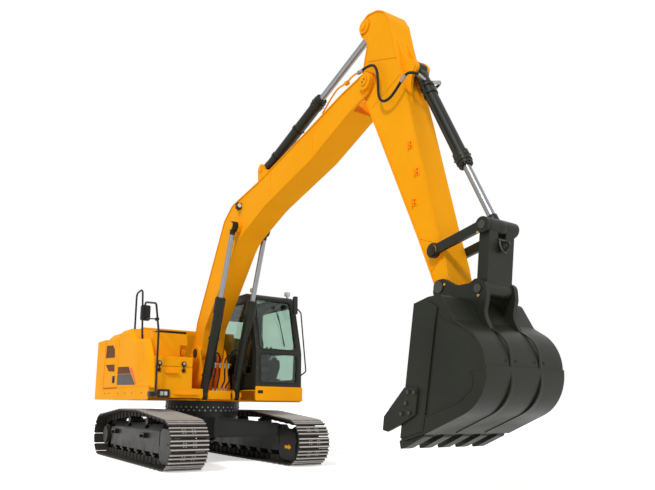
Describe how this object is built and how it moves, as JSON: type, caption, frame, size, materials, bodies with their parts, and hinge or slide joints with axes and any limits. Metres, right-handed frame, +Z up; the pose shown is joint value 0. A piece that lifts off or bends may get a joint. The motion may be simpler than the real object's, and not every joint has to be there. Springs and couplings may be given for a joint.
{
  "type": "crawler excavator",
  "caption": "Crawler excavator with slewing house, cab, curved boom, arm and toothed bucket, worked by cylinders, on two tracks.",
  "frame": {"origin": "on the ground, under the centre of the slewing ring", "axes": "+Z up, -Y to the front where the bucket is, +X to the operator's left where the cab is"},
  "size_m": [2.8936, 9.676, 5.9021],
  "materials": {
    "yellow_paint": "semi-gloss",
    "dark_paint": "satin",
    "black_paint": "satin",
    "track_steel": "matt",
    "pin_steel": "machined",
    "rod_chrome": "polished",
    "engine_iron": "as cast",
    "seat_fabric": "woven",
    "mount_rubber": "moulded",
    "window_glass": "clear",
    "lamp_plastic": "clear lens"
  },
  "bodies": {
    "undercarriage": {"car_body": "black_paint", "slewing_ring": "black_paint", "track_frame_left": "black_paint", "track_frame_right": "black_paint", "track_left": "track_steel", "track_right": "track_steel", "rollers": "black_paint", "idlers": "black_paint", "final_drives": "black_paint"},
    "house": {"revolving_frame": "yellow_paint", "side_frames": "yellow_paint", "foot_pins": "pin_steel", "counterweight": "yellow_paint", "engine_housing": "yellow_paint", "engine_block": "engine_iron", "tanks": "yellow_paint", "tool_box": "yellow_paint", "cab_frame": "dark_paint", "cab_glass": "window_glass", "cab_floor": "black_paint", "cab_mounts": "mount_rubber", "seat": "seat_fabric", "handrails": "black_paint", "mirrors": "black_paint", "roof_lamps": "lamp_plastic"},
    "cab_door": {"cab_door": "dark_paint", "cab_door_glass": "window_glass"},
    "pump_door": {"pump_door": "yellow_paint"},
    "radiator_door": {"radiator_door": "yellow_paint"},
    "battery_door": {"battery_door": "yellow_paint"},
    "engine_hood": {"engine_hood": "yellow_paint"},
    "tool_box_lid": {"tool_box_lid": "yellow_paint"},
    "boom": {"boom": "yellow_paint", "boom_pins": "pin_steel"},
    "arm": {"arm": "yellow_paint", "arm_pins": "pin_steel"},
    "rockers": {"rockers": "dark_paint", "link_pins": "pin_steel"},
    "link": {"link": "dark_paint"},
    "bucket": {"bucket": "dark_paint", "bucket_pins": "pin_steel", "teeth": "dark_paint", "side_cutters": "dark_paint"},
    "boom_cylinder_barrels": {"boom_cylinder_barrels": "dark_paint"},
    "boom_cylinder_rods": {"boom_cylinder_rods": "rod_chrome"},
    "arm_cylinder_barrel": {"arm_cylinder_barrel": "dark_paint"},
    "arm_cylinder_rod": {"arm_cylinder_rod": "rod_chrome"},
    "bucket_cylinder_barrel": {"bucket_cylinder_barrel": "dark_paint"},
    "bucket_cylinder_rod": {"bucket_cylinder_rod": "rod_chrome"}
  },
  "joints": [
    {"name": "swing", "type": "hinge", "parent": "undercarriage", "child": "house", "pos_m": [0, 0, 0.93], "axis": [0, 0, 1], "continuous": true},
    {"name": "boom_lift", "type": "hinge", "parent": "house", "child": "boom", "pos_m": [0, -0.2, 1.88], "axis": [-1, 0, 0], "range_deg": [-76, 27]},
    {"name": "arm_crowd", "type": "hinge", "parent": "boom", "child": "arm", "pos_m": [0, -4.9966, 4.9594], "axis": [1, 0, 0], "range_deg": [-77, 43]},
    {"name": "bucket_curl", "type": "hinge", "parent": "arm", "child": "bucket", "pos_m": [0, -6.117, 2.1764], "axis": [1, 0, 0], "range_deg": [-75, 95]},
    {"name": "boom_cylinder_tilt", "type": "hinge", "parent": "house", "child": "boom_cylinder_barrels", "pos_m": [0, -0.687, 1.132], "axis": [-1, 0, 0], "range_deg": [-70, 25]},
    {"name": "boom_cylinder_stroke", "type": "slide", "parent": "boom_cylinder_barrels", "child": "boom_cylinder_rods", "axis": [0, -0.3291, 0.9443], "range_m": [-1.05, 0.375]},
    {"name": "arm_cylinder_tilt", "type": "hinge", "parent": "boom", "child": "arm_cylinder_barrel", "pos_m": [0, -2.1802, 4.765], "axis": [1, 0, 0], "range_deg": [-2, 3.5]},
    {"name": "arm_cylinder_stroke", "type": "slide", "parent": "arm_cylinder_barrel", "child": "arm_cylinder_rod", "axis": [0, -0.9392, 0.3433], "range_m": [-0.92, 0.515]},
    {"name": "rocker_turn", "type": "hinge", "parent": "arm", "child": "rockers", "pos_m": [0, -6.037, 2.5764], "axis": [1, 0, 0], "range_deg": [-55.5, 70.5]},
    {"name": "link_turn", "type": "hinge", "parent": "rockers", "child": "link", "pos_m": [0, -6.686, 2.6967], "axis": [1, 0, 0], "range_deg": [-46, 36.5]},
    {"name": "bucket_cylinder_tilt", "type": "hinge", "parent": "arm", "child": "bucket_cylinder_barrel", "pos_m": [0, -5.6988, 4.8324], "axis": [1, 0, 0], "range_deg": [-5.1, 6.4]},
    {"name": "bucket_cylinder_stroke", "type": "slide", "parent": "bucket_cylinder_barrel", "child": "bucket_cylinder_rod", "axis": [0, -0.4196, -0.9077], "range_m": [-0.555, 0.7]},
    {"name": "cab_door_hinge", "type": "hinge", "parent": "house", "child": "cab_door", "pos_m": [1.338, 0.26, 2.08], "axis": [0, 0, 1], "range_deg": [0, 90]},
    {"name": "pump_door_hinge", "type": "hinge", "parent": "house", "child": "pump_door", "pos_m": [-1.35, 0.862, 1.77], "axis": [0, 0, 1], "range_deg": [0, 85]},
    {"name": "radiator_door_hinge", "type": "hinge", "parent": "house", "child": "radiator_door", "pos_m": [1.35, 1.732, 1.77], "axis": [0, 0, 1], "range_deg": [0, 85]},
    {"name": "battery_door_hinge", "type": "hinge", "parent": "house", "child": "battery_door", "pos_m": [1.35, 0.652, 1.77], "axis": [0, 0, -1], "range_deg": [0, 85]},
    {"name": "engine_hood_hinge", "type": "hinge", "parent": "house", "child": "engine_hood", "pos_m": [0, 1.692, 2.318], "axis": [-1, 0, 0], "range_deg": [0, 60]},
    {"name": "tool_box_lid_hinge", "type": "hinge", "parent": "house", "child": "tool_box_lid", "pos_m": [-0.965, -0.618, 1.739], "axis": [-1, 0, 0], "range_deg": [0, 85]}
  ],
  "couplings": [
    {"joint": "boom_cylinder_tilt", "follows": "boom_lift", "ratio": 0.915},
    {"joint": "boom_cylinder_stroke", "follows": "boom_lift", "m_per_rad": 0.7876},
    {"joint": "arm_cylinder_tilt", "follows": "arm_crowd", "ratio": -0.045},
    {"joint": "arm_cylinder_stroke", "follows": "arm_crowd", "m_per_rad": 0.68},
    {"joint": "rocker_turn", "follows": "bucket_curl", "ratio": 0.74},
    {"joint": "link_turn", "follows": "bucket_curl", "ratio": -0.48},
    {"joint": "bucket_cylinder_tilt", "follows": "bucket_curl", "ratio": 0.066},
    {"joint": "bucket_cylinder_stroke", "follows": "bucket_curl", "m_per_rad": 0.42}
  ]
}
